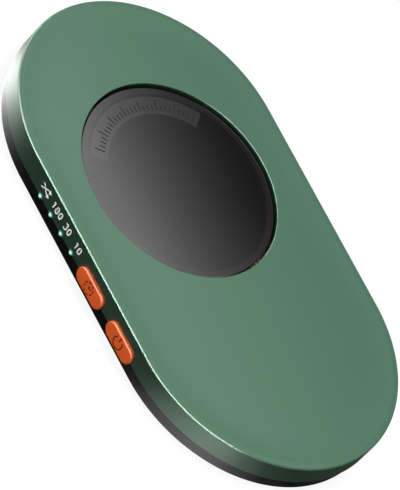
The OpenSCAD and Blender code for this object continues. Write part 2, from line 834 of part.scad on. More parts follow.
module switch_body(y) {
    color("#3a3a3a") difference() {
        translate([board_edge_x, y - switch_size[1] / 2, board_top]) cube(switch_size);
        side_rod(y, button_z, board_edge_x - bore_over, board_edge_x + plunger_depth + plunger_out,
            plunger_radius + run_gap);
    }
}

module switch_plunger(y) {
    color("#e8e8e0") side_rod(y, button_z, board_edge_x - plunger_out, board_edge_x + plunger_depth,
        plunger_radius);
}

module timer_switch_body() { switch_body(timer_button_y); }
module timer_switch_plunger() { switch_plunger(timer_button_y); }
module power_switch_body() { switch_body(power_button_y); }
module power_switch_plunger() { switch_plunger(power_button_y); }

top_cover();
base_tray();
foot_front_left();
foot_front_right();
foot_rear_left();
foot_rear_right();
case_screws();
turntable_disc();
turntable_gear();
disc_screws();
turntable_spindle();
thrust_washer();
spindle_clip();
gear_plate();
compound_gear();
compound_gear_pin();
compound_gear_clip();
motor_can();
motor_face_plate();
motor_standoffs();
motor_screws();
motor_shaft();
motor_pinion();
main_board();
board_screws();
socket_shell();
socket_tongue();
battery_cell();
battery_tape();
battery_connector();
motor_connector();
battery_leads();
motor_leads();
light_guide();
status_light_1();
status_light_2();
status_light_3();
status_light_4();
timer_button();
power_button();
timer_switch_body();
timer_switch_plunger();
power_switch_body();
power_switch_plunger();
controller_chip();
charger_chip();
motor_driver_chip();
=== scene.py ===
# Looks of the mouse jiggler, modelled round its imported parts. Shapes are worked out in millimetres.
import json
import math
import bmesh
import bpy
import numpy as np
from mathutils import Matrix, Vector

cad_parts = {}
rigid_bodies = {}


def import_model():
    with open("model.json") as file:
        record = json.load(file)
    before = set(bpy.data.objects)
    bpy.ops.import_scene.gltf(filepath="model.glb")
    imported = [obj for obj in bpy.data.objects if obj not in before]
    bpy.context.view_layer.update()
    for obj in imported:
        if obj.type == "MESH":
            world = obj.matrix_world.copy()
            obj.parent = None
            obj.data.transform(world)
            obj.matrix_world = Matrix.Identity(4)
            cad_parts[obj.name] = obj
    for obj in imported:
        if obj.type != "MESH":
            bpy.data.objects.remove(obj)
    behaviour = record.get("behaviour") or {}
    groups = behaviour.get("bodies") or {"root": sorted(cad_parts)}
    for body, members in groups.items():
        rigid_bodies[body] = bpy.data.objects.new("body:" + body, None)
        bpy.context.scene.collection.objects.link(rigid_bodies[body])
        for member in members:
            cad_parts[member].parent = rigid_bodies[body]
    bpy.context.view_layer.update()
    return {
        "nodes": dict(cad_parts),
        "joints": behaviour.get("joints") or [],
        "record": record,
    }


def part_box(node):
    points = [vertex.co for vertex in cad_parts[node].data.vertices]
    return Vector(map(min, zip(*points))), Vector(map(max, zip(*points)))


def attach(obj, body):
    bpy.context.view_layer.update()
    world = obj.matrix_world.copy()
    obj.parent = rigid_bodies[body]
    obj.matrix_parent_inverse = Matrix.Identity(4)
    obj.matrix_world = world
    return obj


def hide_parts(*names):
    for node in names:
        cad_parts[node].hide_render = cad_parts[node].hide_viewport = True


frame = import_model()
parts = frame["nodes"]
mm = 0.001
print("frame loaded:", len(parts), "parts")

# Places and sizes taken from the frame

def boxOf(name):
    low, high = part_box(name)
    return np.array(low) / mm, np.array(high) / mm

def meshPoints(mesh):
    # a mesh's points in metres, one row each
    points = np.empty(len(mesh.vertices) * 3, np.float32)
    mesh.vertices.foreach_get("co", points)
    return points.reshape(-1, 3)

def pointsOf(name):
    return meshPoints(parts[name].data) / mm

def groupCentres(values, reach):
    # middles of the runs of sorted values that lie closer than reach
    values = np.sort(values)
    runs = np.split(values, np.nonzero(np.diff(values) > reach)[0] + 1)
    return [(run[0] + run[-1]) / 2 for run in runs]

def jointPlace(name):
    # where a joint sits at rest, in millimetres
    return np.array(next(j["pos_m"] for j in frame["joints"] if j["name"] == name)) / mm

levelReach = 0.01                                        # points this near a level lie on it
coverLow, coverHigh = boxOf("top_cover")
trayHigh = boxOf("base_tray")[1]
discHigh = boxOf("turntable_disc")[1]
discAt = jointPlace("turntable_spin")[:2]
discRadius = discHigh[0] - discAt[0]
coverRadius, coverTop = coverHigh[0], coverHigh[2]
trayRadius = trayHigh[0]
straightHalf = coverHigh[1] - coverRadius                # half the length of the straight sides
guidePoints = pointsOf("light_guide")
tipPoints = guidePoints[guidePoints[:, 0] < guidePoints[:, 0].min() + levelReach]
coverPoints = pointsOf("top_cover")
partingZ = coverPoints[coverPoints[:, 0] < coverLow[0] + levelReach, 2].min()      # cover meets tray here
tipX, tipZ = tipPoints[0, 0], (tipPoints[:, 2].min() + tipPoints[:, 2].max()) / 2
lightsY = groupCentres(tipPoints[:, 1], reach=2)
discGap = 0.4                                            # running gap between the disc and its opening
skinCut = 0.015                                          # how far a finished skin lies inside its part
skinFloor = 1                                            # a part that starts below this has its underside
                                                         # moved out too, before its skin shapes it
partingGuard = 0.05                                      # rows this near the parting line keep the walls even
past = 1                                                 # how far a shaping skin reaches past its part
weld = 0.0002                                            # corners closer than this are one corner
sliver = 0.004                                           # corners closer than this are merged at the end
sharpFrom = 28                                           # faces that meet at more degrees get a hard edge

# Mesh tools

def placed(name, data):
    # a new object for mesh, camera or lamp data, linked into the scene
    item = bpy.data.objects.new(name, data)
    bpy.context.scene.collection.objects.link(item)
    return item

def applied(piece):
    # the piece with its modifiers worked into its mesh
    bpy.context.view_layer.update()
    mesh = bpy.data.meshes.new_from_object(piece.evaluated_get(bpy.context.evaluated_depsgraph_get()))
    piece.modifiers.clear()
    piece.data = mesh
    return piece

def smoothed(mesh):
    # soft shading, with a hard edge where faces meet at a large angle
    mesh.shade_smooth()
    mesh.set_sharp_from_angle(angle=math.radians(sharpFrom))

def mergedMesh(mesh, turnOut):
    # corners that lie together become one, and faces are turned outwards where they may not be
    work = bmesh.new()
    work.from_mesh(mesh)
    bmesh.ops.remove_doubles(work, verts=work.verts, dist=weld * mm)
    if turnOut:
        bmesh.ops.recalc_face_normals(work, faces=work.faces)
    work.to_mesh(mesh)
    work.free()

def meshPiece(name, points, faces):
    # an object from points in millimetres and quads between them
    mesh = bpy.data.meshes.new(name)
    mesh.from_pydata((points.reshape(-1, 3) * mm).tolist(), [], faces.tolist())
    mergedMesh(mesh, True)
    smoothed(mesh)
    return placed(name, mesh)

def partCopy(node, name):
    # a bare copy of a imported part's mesh
    mesh = parts[node].data.copy()
    mesh.materials.clear()
    mergedMesh(mesh, False)
    return placed(name, mesh)

def grownCopy(node, name, radius, half, centre, by=0.3, wallBand=0.45):
    # a copy whose outermost wall, top and bottom are moved out, so that a finished skin lies inside it:
    # the wall is what lies less than wallBand inside the radius
    piece = partCopy(node, name)
    points = meshPoints(piece.data).astype(float)
    low, high = points[:, 2].min(), points[:, 2].max()
    flat = points[:, :2] / mm - centre
    flat[:, 1] -= np.clip(flat[:, 1], -half, half)
    away = np.linalg.norm(flat, axis=1)
    outer = away > radius - wallBand
    points[outer, :2] += flat[outer] / away[outer, None] * by * mm
    points[points[:, 2] > high - levelReach * mm, 2] += by * mm
    if low < skinFloor * mm:
        points[points[:, 2] < low + levelReach * mm, 2] -= by * mm
    piece.data.vertices.foreach_set("co", points.ravel())
    piece.data.update()
    return piece

def gridFaces(rows, columns, rowsClosed=False, columnsClosed=True):
    # quads between neighbouring points of a grid, wrapping round where a direction is closed
    r, c = np.meshgrid(np.arange(rows if rowsClosed else rows - 1),
                       np.arange(columns if columnsClosed else columns - 1), indexing="ij")
    below, right = (r + 1) % rows, (c + 1) % columns
    quads = [r * columns + c, r * columns + right, below * columns + right, below * columns + c]
    return np.stack(quads, -1).reshape(-1, 4)

def combined(piece, tool, operation):
    # the piece cut by or kept inside a tool, which is used up
    step = piece.modifiers.new("shape", "BOOLEAN")
    step.operation, step.object, step.solver = operation, tool, "MANIFOLD"
    applied(piece)
    bpy.data.objects.remove(tool)
    if not len(piece.data.polygons):
        raise RuntimeError("nothing left of " + piece.name)
    mergedMesh(piece.data, False)
    smoothed(piece.data)
    return piece

def settled(piece):
    # slivers left by cutting are merged away, every edge is marked soft or hard anew, and large faces
    # decide the shading at their corners
    work = bmesh.new()
    work.from_mesh(piece.data)
    bmesh.ops.remove_doubles(work, verts=work.verts, dist=sliver * mm)
    bmesh.ops.dissolve_degenerate(work, edges=work.edges, dist=sliver / 4 * mm)
    work.normal_update()
    for edge in work.edges:
        edge.smooth = edge.calc_face_angle(0) < math.radians(sharpFrom)
    work.to_mesh(piece.data)
    work.free()
    if "custom_normal" in piece.data.attributes:
        piece.data.attributes.remove(piece.data.attributes["custom_normal"])
    step = piece.modifiers.new("shade", "WEIGHTED_NORMAL")
    step.keep_sharp = True
    return applied(piece)

def stadiumLoop(half, perSide, perArc):
    # spine points and outward normals round a stadium whose straight sides run along Y
    along = np.linspace(-half, half, perSide + 1)
    turn = np.linspace(0, np.pi, perArc + 1)[1:-1]
    spine = np.concatenate([along, np.full(turn.size, half), along[::-1], np.full(turn.size, -half)])
    angle = np.concatenate([np.zeros(along.size), turn, np.full(along.size, np.pi), np.pi + turn])
    return np.stack([0 * spine, spine], 1), np.stack([np.cos(angle), np.sin(angle)], 1)

def roundedProfile(corners, steps=6, guard=0.04):
    # corners are (across, up, cut): each is replaced by a parabola from cut before it to cut after it,
    # with a guard point on either side that keeps the shading of the straight parts even
    corners = np.array(corners, float)
    line = [corners[:1, :2]]
    t = np.linspace(0, 1, steps + 1)[:, None]
    for before, here, after in zip(corners, corners[1:], corners[2:]):
        p = here[:2]
        back = (before[:2] - p) / np.linalg.norm(before[:2] - p)
        onward = (after[:2] - p) / np.linalg.norm(after[:2] - p)
        start, end = p + back * here[2], p + onward * here[2]
        curve = (1 - t) ** 2 * start + 2 * t * (1 - t) * p + t ** 2 * end
        line.append(np.concatenate([[start + back * guard], curve, [end + onward * guard]]) if here[2]
                    else p[None])
    line.append(corners[-1:, :2])
    return np.concatenate(line)

def sweptRows(profile, loop):
    # each profile point (across, up) is carried round the loop: spine + across * normal, at height up
    spine, normal = loop
    flat = spine[None] + profile[:, 0][:, None, None] * normal[None]
    return np.concatenate([flat, np.broadcast_to(profile[:, 1][:, None, None], flat.shape[:2] + (1,))], 2)

def strokeSolid(name, path, halfWidth, x0, x1, closed=False):
    # a flat ribbon along a path of (y, z) points: path +- half width along its normal, from x0 to x1
    along = np.roll(path, -1, 0) - np.roll(path, 1, 0) if closed else np.gradient(path, axis=0)
    normal = np.stack([-along[:, 1], along[:, 0]], 1) / np.linalg.norm(along, axis=1)[:, None]
    edge = normal * np.broadcast_to(halfWidth, len(path))[:, None]
    rows = [np.column_stack([np.full(len(path), x), path + side * edge])
            for x, side in ((x0, -1), (x0, 1), (x1, 1), (x1, -1))]
    faces = gridFaces(4, len(path), True, closed)
    if not closed:                                       # a cap on each end
        ends = np.array([[0], [len(path) - 1]])
        faces = np.concatenate([faces, ends + len(path) * np.arange(4)])
    return meshPiece(name, np.stack(rows), faces)

def joined(name, pieces):
    # one mesh object from several
    work = bmesh.new()
    for piece in pieces:
        work.from_mesh(piece.data)
        bpy.data.objects.remove(piece)
    mesh = bpy.data.meshes.new(name)
    work.to_mesh(mesh)
    work.free()
    smoothed(mesh)
    return placed(name, mesh)

# Materials

def linear(r, g, b):
    # linear colour of an 8-bit display colour
    c = np.array([r, g, b]) / 255
    return (*np.where(c <= 0.04045, c / 12.92, ((c + 0.055) / 1.055) ** 2.4).tolist(), 1)

def addNode(tree, kind, inputs=None, **values):
    node = tree.nodes.new(kind)
    for key, value in values.items():
        setattr(node, key, value)
    for key, value in (inputs or {}).items():
        if isinstance(value, bpy.types.NodeSocket):
            tree.links.new(value, node.inputs[key])
        else:
            node.inputs[key].default_value = value
    return node

def mathNode(tree, operation, *values, clamp=False):
    return addNode(tree, "ShaderNodeMath", dict(enumerate(values)), operation=operation,
                   use_clamp=clamp).outputs[0]

def newGroup(name, inputs, outputs):
    group = bpy.data.node_groups.new(name, "ShaderNodeTree")
    for label, kind, value in inputs:
        socket = group.interface.new_socket(name=label, in_out="INPUT", socket_type=kind)
        if value is not None:
            socket.default_value = value
    for label, kind in outputs:
        group.interface.new_socket(name=label, in_out="OUTPUT", socket_type=kind)
    return group, group.nodes.new("NodeGroupInput").outputs, group.nodes.new("NodeGroupOutput").inputs

def makeGrainGroup():
    # fine moulded grain as a height, and broad soft patches as a mask
    group, given, put = newGroup(
        "mouldedGrain",
        [("Vector", "NodeSocketVector", None), ("Grain Scale", "NodeSocketFloat", 4000.0),
         ("Patch Scale", "NodeSocketFloat", 60.0)],
        [("Height", "NodeSocketFloat"), ("Patches", "NodeSocketFloat")])
    fine = addNode(group, "ShaderNodeTexNoise",
                   {"Vector": given["Vector"], "Scale": given["Grain Scale"], "Detail": 3.0,
                    "Roughness": 0.6})
    broad = addNode(group, "ShaderNodeTexNoise",
                    {"Vector": given["Vector"], "Scale": given["Patch Scale"], "Detail": 4.0,
                     "Roughness": 0.55})
    spread = addNode(group, "ShaderNodeMapRange",
                     {"Value": broad.outputs[0], "From Min": 0.2, "From Max": 0.8})
    group.links.new(fine.outputs[0], put["Height"])
    group.links.new(spread.outputs[0], put["Patches"])
    return group

# light of the status lamps: painted light, a halo glowing on the wall around them, and the glow of the clear
# tips themselves
glowLook = {"halo": linear(62, 196, 172), "haloStrength": 0.8, "haloCore": 0.35, "haloReach": 1.25,
            "tip": (0.55, 1.15, 0.95, 1), "tipStrength": 1.0, "tipCore": 0.18, "tipReach": 0.85,
            "fall": 1.6, "depth": 1.2}

def makeGlowGroup(look):
    # lamp light painted as glow round spots in a row along Y: near each, 1 falling smoothly to 0 at the
    # reach, and none deeper behind the tips than the depth
    group, given, put = newGroup(
        "spotGlow",
        [("Vector", "NodeSocketVector", None), ("Core", "NodeSocketFloat", 0.5 * mm),
         ("Reach", "NodeSocketFloat", 1.6 * mm)],
        [("Glow", "NodeSocketFloat")])
    place = addNode(group, "ShaderNodeSeparateXYZ", {0: given["Vector"]})
    pitch = (lightsY[1] - lightsY[0]) * mm
    steps = mathNode(group, "ROUND", mathNode(group, "DIVIDE",
                     mathNode(group, "SUBTRACT", place.outputs[1], float(lightsY[0] * mm)), float(pitch)))
    held = mathNode(group, "MAXIMUM", mathNode(group, "MINIMUM", steps, len(lightsY) - 1.0), 0.0)
    nearest = mathNode(group, "MULTIPLY_ADD", held, float(pitch), float(lightsY[0] * mm))
    across = mathNode(group, "SUBTRACT", place.outputs[1], nearest)
    up = mathNode(group, "SUBTRACT", place.outputs[2], float(tipZ * mm))
    square = mathNode(group, "ADD", mathNode(group, "MULTIPLY", across, across),
                      mathNode(group, "MULTIPLY", up, up))
    fall = addNode(group, "ShaderNodeMapRange",
                   {"Value": mathNode(group, "SQRT", square), "From Min": given["Reach"],
                    "From Max": given["Core"]}, interpolation_type="SMOOTHSTEP")
    outside = mathNode(group, "LESS_THAN", place.outputs[0], float((tipX + look["depth"]) * mm))
    group.links.new(mathNode(group, "MULTIPLY", fall.outputs[0], outside), put["Glow"])
    return group

grainGroup = makeGrainGroup()
glowGroup = makeGlowGroup(glowLook)

def makeFinish(name, look):
    # colour broken up by soft patches, which also shift the roughness, with fine grain as bump
    material = bpy.data.materials.new(name)
    material.use_nodes = True
    tree = material.node_tree
    shader = tree.nodes["Principled BSDF"]
    shader.inputs["Metallic"].default_value = look.get("metal", 0.0)
    shader.inputs["Specular IOR Level"].default_value = look.get("specular", 0.5)
    shader.inputs["Specular Tint"].default_value = look.get("tint", (1, 1, 1, 1))
    place = addNode(tree, "ShaderNodeTexCoord").outputs["Object"]
    grain = addNode(tree, "ShaderNodeGroup", node_tree=grainGroup)
    stretch = addNode(tree, "ShaderNodeMapping", {"Vector": place, "Scale": look.get("stretch", (1, 1, 1))})
    tree.links.new(stretch.outputs[0], grain.inputs["Vector"])
    grain.inputs["Grain Scale"].default_value = look.get("grain", 4000.0)
    grain.inputs["Patch Scale"].default_value = look.get("patch", 60.0)
    shade = 1 - look.get("uneven", 0.08)
    colour = look["colour"]
    blend = addNode(tree, "ShaderNodeMix", data_type="RGBA")
    tree.links.new(grain.outputs["Patches"], blend.inputs["Factor"])
    blend.inputs["A"].default_value = colour
    blend.inputs["B"].default_value = (*[c * shade for c in colour[:3]], 1)
    tree.links.new(blend.outputs["Result"], shader.inputs["Base Color"])
    rough, spread = look["rough"], look.get("roughSpread", 0.04)
    rougher = addNode(tree, "ShaderNodeMapRange",
                      {"Value": grain.outputs["Patches"], "To Min": rough - spread, "To Max": rough + spread})
    tree.links.new(rougher.outputs[0], shader.inputs["Roughness"])
    bump = addNode(tree, "ShaderNodeBump",
                   {"Height": grain.outputs["Height"], "Strength": look.get("bump", 0.15),
                    "Distance": look.get("bumpDepth", 0.02) * mm})
    tree.links.new(bump.outputs[0], shader.inputs["Normal"])
    return material

def addGlow(material, look, place):
    # light of the status lamps painted as glow on a skin, at one of the two places of the look: the wall's
    # halo and the tips
    tree = material.node_tree
    shader = tree.nodes["Principled BSDF"]
    glow = addNode(tree, "ShaderNodeGroup", node_tree=glowGroup)
    tree.links.new(addNode(tree, "ShaderNodeTexCoord").outputs["Object"], glow.inputs["Vector"])
    glow.inputs["Core"].default_value = look[place + "Core"] * mm
    glow.inputs["Reach"].default_value = look[place + "Reach"] * mm
    tint = addNode(tree, "ShaderNodeMix", {"B": look[place]}, data_type="RGBA")
    tint.inputs["A"].default_value = (0, 0, 0, 1)
    tree.links.new(mathNode(tree, "POWER", glow.outputs[0], look["fall"]), tint.inputs["Factor"])
    tree.links.new(tint.outputs["Result"], shader.inputs["Emission Color"])
    shader.inputs["Emission Strength"].default_value = look[place + "Strength"]

finishes = {
    "cover_green": {"colour": linear(104, 152, 125), "rough": 0.25, "specular": 0.3,
                    "tint": (0.84, 1, 0.88, 1), "grain": 5200, "patch": 45, "uneven": 0.03, "bump": 0.12,
                    "bumpDepth": 0.012, "roughSpread": 0.008},
    "base_black": {"colour": linear(50, 48, 49), "rough": 0.24, "specular": 0.18, "grain": 4200, "patch": 70,
                   "uneven": 0.15, "bump": 0.15, "bumpDepth": 0.015},
    "foot_rubber": {"colour": linear(38, 38, 38), "rough": 0.75, "specular": 0.3, "grain": 2600, "patch": 300,
                    "uneven": 0.25, "bump": 0.4, "bumpDepth": 0.04},
    "steel_screw": {"colour": linear(176, 178, 180), "rough": 0.3, "metal": 1.0, "grain": 3000, "patch": 500,
                    "uneven": 0.2},
    "disc_dark": {"colour": linear(17, 16, 17), "rough": 0.13, "specular": 0.5, "grain": 5000, "patch": 40,
                  "uneven": 0.1, "bump": 0.03, "bumpDepth": 0.01, "roughSpread": 0.015},
    "gear_plastic": {"colour": linear(226, 222, 206), "rough": 0.45, "specular": 0.4, "grain": 3000,
                     "patch": 200, "uneven": 0.08},
    "pin_steel": {"colour": linear(196, 198, 200), "rough": 0.2, "metal": 1.0, "grain": 3500, "patch": 500,
                  "stretch": (1, 1, 0.1)},
    "plate_steel": {"colour": linear(168, 172, 176), "rough": 0.36, "metal": 1.0, "grain": 2500, "patch": 160,
                    "stretch": (1, 0.06, 1), "uneven": 0.15},
    "motor_steel": {"colour": linear(160, 163, 166), "rough": 0.28, "metal": 1.0, "grain": 2500, "patch": 220,
                    "stretch": (1, 1, 0.1), "uneven": 0.15},
    "brass": {"colour": linear(206, 172, 98), "rough": 0.28, "metal": 1.0, "grain": 3000, "patch": 400},
    "board_green": {"colour": linear(22, 84, 52), "rough": 0.32, "specular": 0.5, "grain": 1800, "patch": 260,
                    "uneven": 0.35, "bump": 0.2, "bumpDepth": 0.03},
    "socket_steel": {"colour": linear(188, 190, 192), "rough": 0.25, "metal": 1.0, "grain": 3000,
                     "patch": 400},
    "black_moulding": {"colour": linear(28, 28, 29), "rough": 0.5, "grain": 3000, "patch": 300},
    "battery_foil": {"colour": linear(178, 181, 186), "rough": 0.34, "metal": 1.0, "grain": 900, "patch": 130,
                     "uneven": 0.2, "bump": 0.3, "bumpDepth": 0.06},
    "tape": {"colour": linear(226, 224, 214), "rough": 0.65, "grain": 2500, "patch": 200},
    "connector_white": {"colour": linear(228, 226, 218), "rough": 0.42, "grain": 3000, "patch": 300},
    "lead_skin": {"colour": linear(150, 32, 28), "rough": 0.4, "grain": 3000, "patch": 300},
    "light_clear": {"colour": linear(206, 222, 216), "rough": 0.2, "grain": 3000, "patch": 300},
    "led": {"colour": linear(232, 240, 226), "rough": 0.3, "grain": 3000, "patch": 400},
    "button_orange": {"colour": linear(210, 82, 10), "rough": 0.46, "specular": 0.32, "grain": 4600,
                      "patch": 160, "uneven": 0.08, "bump": 0.15, "bumpDepth": 0.015},
    "chip_black": {"colour": linear(32, 32, 33), "rough": 0.5, "grain": 2600, "patch": 500, "bump": 0.3},
    "print_white": {"colour": linear(238, 242, 240), "rough": 0.5, "grain": 3000, "patch": 400,
                    "uneven": 0.04},
    "mark_brown": {"colour": linear(88, 22, 4), "rough": 0.8, "specular": 0.05, "grain": 3000, "patch": 400},
    "mark_dark": {"colour": linear(14, 14, 14), "rough": 0.6, "specular": 0.1, "grain": 3000, "patch": 400},
}
skins = {name: makeFinish(name, look) for name, look in finishes.items()}

# painted light: the cover's and tray's walls glow round the status lamps, and the clear tips glow as the
# lamps
for name, place in (("cover_green", "halo"), ("base_black", "halo"), ("light_clear", "tip")):
    addGlow(skins[name], glowLook, place)

def overlay(tree, mask, colour):
    # a colour laid over a skin's own where the mask is 1
    shader = tree.nodes["Principled BSDF"]
    shown = addNode(tree, "ShaderNodeMix", {"Factor": mask}, data_type="RGBA")
    tree.links.new(shader.inputs["Base Color"].links[0].from_socket, shown.inputs["A"])
    shown.inputs["B"].default_value = colour
    tree.links.new(shown.outputs["Result"], shader.inputs["Base Color"])

def discRadiusNode(tree, place):
    # distance from the turntable's axis, and the two coordinates from it
    centred = addNode(tree, "ShaderNodeMapping", {"Vector": place})
    centred.inputs["Location"].default_value = (-discAt[0] * mm, -discAt[1] * mm, 0)
    x, y = addNode(tree, "ShaderNodeSeparateXYZ", {0: centred.outputs[0]}).outputs[:2]
    return mathNode(tree, "SQRT", mathNode(tree, "ADD", mathNode(tree, "MULTIPLY", x, x),
                                           mathNode(tree, "MULTIPLY", y, y))), x, y

# painted shade in the opening: how far past the opening it reaches, below which depth and how softly it
# starts, and its colour
recessShadeLook = {"reach": 0.12, "top": 0.32, "soft": 0.12, "colour": linear(34, 68, 52)}

def addRecessShade(material, look):
    # painted shade on the wall of the opening: a darker colour inside a radius and below the lip's bevel
    tree = material.node_tree
    place = addNode(tree, "ShaderNodeTexCoord").outputs["Object"]
    radius = discRadiusNode(tree, place)[0]
    near = mathNode(tree, "LESS_THAN", radius, float((discRadius + discGap + look["reach"]) * mm))
    low = addNode(tree, "ShaderNodeMapRange",
                  {"Value": addNode(tree, "ShaderNodeSeparateXYZ", {0: place}).outputs[2],
                   "From Min": float((coverTop - look["top"]) * mm),
                   "From Max": float((coverTop - look["top"] - look["soft"]) * mm)}).outputs[0]
    overlay(tree, mathNode(tree, "MULTIPLY", near, low), look["colour"])

addRecessShade(skins["cover_green"], recessShadeLook)

# the scale's lighter arc, and the painted highlight along the rim: where it starts, how softly, and its
# colour
labelLook = {"from": 43, "to": 151.5, "inner": 19.9, "outer": 24.75, "soft": 0.2, "depth": 0.1,
             "colour": linear(60, 59, 60), "rim": 25.5, "rimSoft": 0.25, "rimHighlightColour": linear(42, 34, 39)}

def addLabelBand(material, look):
    # a slightly lighter arc for the scale, between two radii and two angles about the disc's centre,
    # and a painted highlight: a faintly lighter ring along the rim
    tree = material.node_tree
    place = addNode(tree, "ShaderNodeTexCoord").outputs["Object"]
    radius, x, y = discRadiusNode(tree, place)
    angle = mathNode(tree, "ARCTAN2", y, x)
    middle = (look["inner"] + look["outer"]) / 2
    halfArc = math.radians(look["to"] - look["from"]) / 2
    arcAt = math.radians(look["to"] + look["from"]) / 2

    def inside(distance, half, soft):
        return addNode(tree, "ShaderNodeMapRange",
                       {"Value": mathNode(tree, "ABSOLUTE", distance), "From Min": half + soft,
                        "From Max": half}).outputs[0]

    soft = look["soft"] * mm
    ring = inside(mathNode(tree, "SUBTRACT", radius, middle * mm), (look["outer"] - middle) * mm, soft)
    arc = inside(mathNode(tree, "SUBTRACT", angle, arcAt), halfArc, look["soft"] / middle)
    onTop = mathNode(tree, "GREATER_THAN",
                     addNode(tree, "ShaderNodeSeparateXYZ", {0: place}).outputs[2],
                     float((discHigh[2] - look["depth"]) * mm))
    band = mathNode(tree, "MULTIPLY", mathNode(tree, "MULTIPLY", ring, arc), onTop)
    # painted highlight: the disc is lighter from this radius out to its edge
    rim = addNode(tree, "ShaderNodeMapRange", {"Value": radius, "From Min": look["rim"] * mm,
                                               "From Max": (look["rim"] + look["rimSoft"]) * mm}).outputs[0]
    overlay(tree, rim, look["rimHighlightColour"])
    overlay(tree, band, look["colour"])

addLabelBand(skins["disc_dark"], labelLook)
print("materials made:", len(skins))

def finishPiece(piece, body, slot, skin=None, replaces=None):
    piece.data.materials.clear()
    piece.data.materials.append(skins[skin or slot])
    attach(piece, body)
    if replaces:
        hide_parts(replaces)

# Cover: the moulded shell with a rim band, a shallow dished top and a rounded opening

coverLook = {"chamfer": 0.34, "edgeRound": 0.09, "rimWidth": 1.6, "rimFall": 0.02, "rimRound": 0.3,
             "dishDepth": 0.33, "dishWidth": 8.2, "dishRows": 26, "dishClear": 0.1, "lipBevel": 0.16,
             "lipRound": 0.05, "lipFlat": 0.7, "blendRows": 4, "perSide": 72, "perArc": 240,
             "mouthFlare": 0.22}

def coverSkin(look):
    # outer skin as a closed ring: round-ended wall, chamfer, rim band, dish top - depth * (1 - (1 - t)^2),
    # then a blend from the stadium to the opening's circle and down its wall
    outer, top, low = coverRadius - skinCut, coverTop - skinCut, coverLow[2] - past
    slope = 2 * look["dishDepth"] / look["dishWidth"]    # how steeply the dish leaves the rim band
    wall = roundedProfile([(outer, low, 0), (outer, partingZ + partingGuard, 0),
                           (outer, top - look["chamfer"], look["edgeRound"]),
                           (outer - look["chamfer"], top - look["rimFall"], look["edgeRound"]),
                           (outer - look["rimWidth"], top, look["rimRound"]),
                           (outer - look["rimWidth"] - 1, top - slope, 0)])
    t = np.linspace(0, 1, look["dishRows"])[:, None]
    dish = np.hstack([outer - look["rimWidth"] - t * look["dishWidth"],
                      top - look["dishDepth"] * (1 - (1 - t) ** 2)])
    clear = wall[-2, 0] - look["dishClear"]              # the dish starts once the rim's rounding has ended
    side = np.concatenate([wall[:-1], dish[dish[:, 0] < clear]])
    opening = discRadius + discGap + skinCut
    edgeZ = side[-1, 1]
    lip = roundedProfile([(opening + look["lipFlat"], edgeZ, 0),
                          (opening + look["lipBevel"], edgeZ, look["lipRound"]),
                          (opening, edgeZ - look["lipBevel"], look["lipRound"]), (opening, low, 0)])
    loop = stadiumLoop(straightHalf, look["perSide"], look["perArc"])
    sideRows = sweptRows(side, loop)
    away = sideRows[-1, :, :2] - discAt
    away = away / np.linalg.norm(away, axis=1)[:, None]
    lipRows = sweptRows(lip, (np.broadcast_to(discAt, away.shape), away))
    blend = np.linspace(0, 1, look["blendRows"] + 2)[1:-1, None, None]
    between = sideRows[-1] * (1 - blend) + lipRows[0] * blend
    rows = np.concatenate([sideRows, between, lipRows])
    return meshPiece("cover_skin", rows, gridFaces(len(rows), rows.shape[1], rowsClosed=True))

def pillFlare(centre, length, height, grow, x0, x1, perSide=16, perArc=32):
    # a pill-shaped funnel: its outline widens by grow from x1 out to x0
    loop = stadiumLoop((length - height) / 2, perSide, perArc)
    profile = np.array([(0, x1), (height / 2, x1), (height / 2 + grow, x0), (0, x0)])
    rows = sweptRows(profile, loop)
    points = np.stack([rows[..., 2], centre[0] + rows[..., 1], centre[1] + rows[..., 0]], -1)
    return meshPiece("flare", points, gridFaces(len(rows), rows.shape[1]))

# the buttons' values, some of which also place their mouths in the cover's wall
buttonLook = {"flangeOver": 1.0, "gap": 0.15, "edgeRound": 0.55, "dome": 0.05, "domeShare": 0.55,
              "crownRows": 6, "neck": 1.9, "shoulder": 3, "perSide": 24, "perArc": 64, "edgeSteps": 9,
              "mark": 3.7, "stroke": 0.38, "markReach": 0.3, "proud": 0.012, "dashes": 8,
              "dash": (6, 39), "hands": ((-0.238, 0.12), (0.03, 0.24)), "gapHalf": 38, "bar": (0.12, 0.56)}

def buttonPlace(node):
    # face x, middle (y, z), length and height of a button's pill
    low, high = boxOf(node)
    return low[0], (low[1:] + high[1:]) / 2, high[1] - low[1] - 2 * buttonLook["flangeOver"], high[2] - low[2]

cover = combined(grownCopy("top_cover", "cover_shell", coverRadius, straightHalf, (0, 0)),
                 coverSkin(coverLook), "INTERSECT")
for node in ("timer_button", "power_button"):
    middle, length, height = buttonPlace(node)[1:]
    flare = coverLook["mouthFlare"]
    mouth = pillFlare(middle, length + 2 * buttonLook["gap"], height + 2 * buttonLook["gap"], 2 * flare,
                      -coverRadius - flare, -coverRadius + flare)
    combined(cover, mouth, "DIFFERENCE")
finishPiece(settled(cover), "housing", "cover_green", replaces="top_cover")
print("cover done:", len(cover.data.polygons), "faces")

# Base tray: the part with a smooth round-ended skin and a soft lower edge

trayLook = {"chamfer": 0.4, "edgeRound": 0.2, "perSide": 40, "perArc": 200}

def traySkin(look):
    # a round-ended block with rounded lower edges that the tray is kept inside
    outer, low, high = trayRadius - skinCut, boxOf("base_tray")[0][2] + skinCut, trayHigh[2] + past
    profile = roundedProfile([(0, low, 0), (outer - look["chamfer"], low, look["edgeRound"]),
                              (outer, low + look["chamfer"], look["edgeRound"]),
                              (outer, partingZ - partingGuard, 0), (outer, high, 0), (0, high, 0)])
    rows = sweptRows(profile, stadiumLoop(straightHalf, look["perSide"], look["perArc"]))
    return meshPiece("tray_skin", rows, gridFaces(len(rows), rows.shape[1]))

